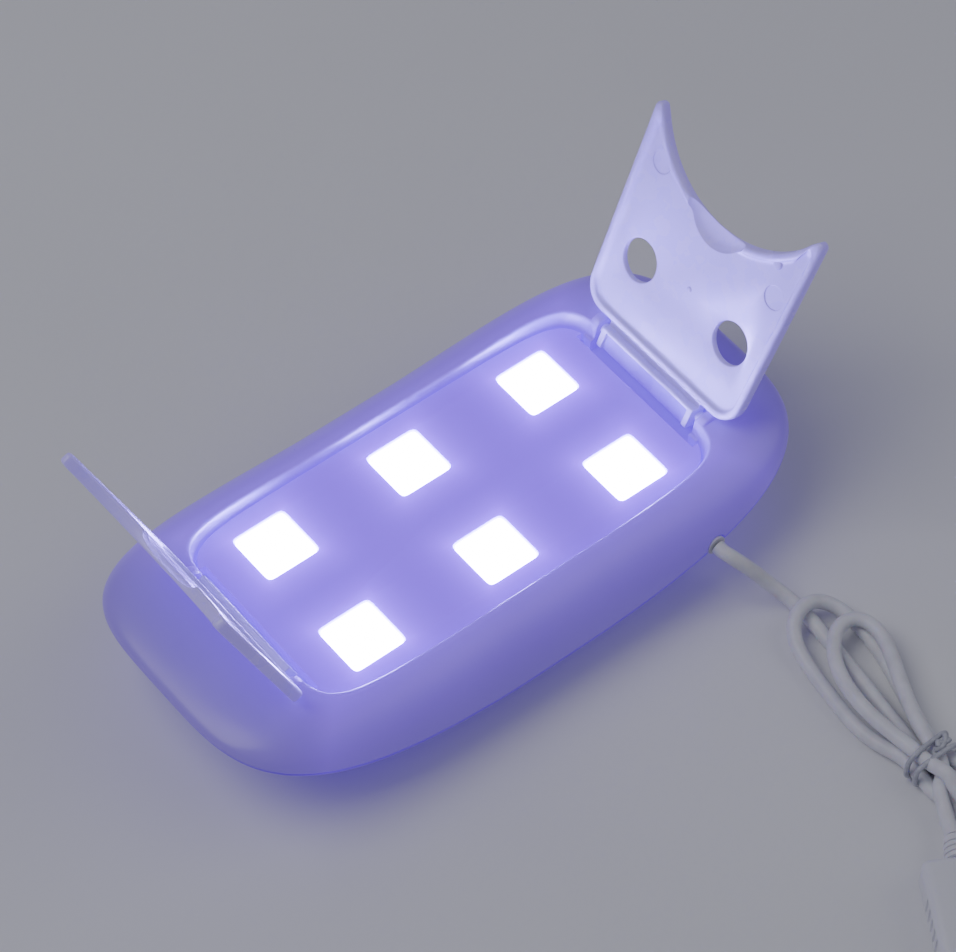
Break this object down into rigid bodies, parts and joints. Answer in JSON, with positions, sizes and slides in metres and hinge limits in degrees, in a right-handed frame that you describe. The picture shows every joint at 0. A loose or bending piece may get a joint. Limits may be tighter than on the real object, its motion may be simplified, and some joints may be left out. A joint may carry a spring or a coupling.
{
  "type": "uv led nail lamp",
  "caption": "Slim folding USB lamp for curing gel nails: domed oval housing lying on its back, lit panel up, both cat-head legs open.",
  "frame": {"origin": "middle of the lamp at the surface it lies on, under the flat of its domed back", "axes": "+Z out of the lit panel, +X along the lamp towards the right leg, -Y towards the side the lead leaves from"},
  "size_m": [0.1328, 0.2028, 0.0644],
  "materials": {
    "white_shell": "satin gloss",
    "white_leg": "satin gloss",
    "white_panel": "satin",
    "lens": "clear diffusing",
    "led": "phosphor yellow",
    "board": "white solder mask",
    "steel": "plated",
    "black": "moulded",
    "button": "satin",
    "cord": "soft matt",
    "tie": "paper-plastic band"
  },
  "bodies": {
    "housing": {"base_shell": "white_shell", "top_shell": "white_shell", "usb_plug_body": "white_shell", "led_panel": "white_panel", "led_board": "board", "control_board": "board", "led_1": "led", "led_2": "led", "led_3": "led", "led_4": "led", "led_5": "led", "led_6": "led", "indicator_led": "led", "led_lens_1": "lens", "led_lens_2": "lens", "led_lens_3": "lens", "led_lens_4": "lens", "led_lens_5": "lens", "led_lens_6": "lens", "indicator_light_pipe": "lens", "led_board_screw_1": "steel", "led_board_screw_2": "steel", "led_board_screw_3": "steel", "led_board_screw_4": "steel", "case_screw_1": "steel", "case_screw_2": "steel", "case_screw_3": "steel", "case_screw_4": "steel", "control_board_screw_1": "steel", "control_board_screw_2": "steel", "smoothing_capacitor": "steel", "usb_plug_shell": "steel", "timer_chip": "black", "switch_transistor": "black", "tact_switch_body": "black", "usb_plug_tongue": "black", "cord_grommet": "cord", "inner_lead": "cord", "usb_cord_lead": "cord", "usb_cord_tail": "cord", "usb_cord_hank": "cord", "plug_strain_relief": "cord", "cord_tie": "tie"},
    "right_leg": {"right_leg": "white_leg"},
    "left_leg": {"left_leg": "white_leg"},
    "power_button": {"power_button": "button", "tact_switch_stem": "button"}
  },
  "joints": [
    {"name": "right_leg_hinge", "type": "hinge", "parent": "housing", "child": "right_leg", "pos_m": [0.0473, 0, 0.0211], "axis": [0, -1, 0], "range_deg": [0, 113]},
    {"name": "left_leg_hinge", "type": "hinge", "parent": "housing", "child": "left_leg", "pos_m": [-0.0473, 0, 0.0211], "axis": [0, 1, 0], "range_deg": [0, 113]},
    {"name": "power_button_press", "type": "slide", "parent": "housing", "child": "power_button", "axis": [0, 0, 1], "range_m": [0, 0.0003], "stiffness_N_per_m": 4000}
  ]
}
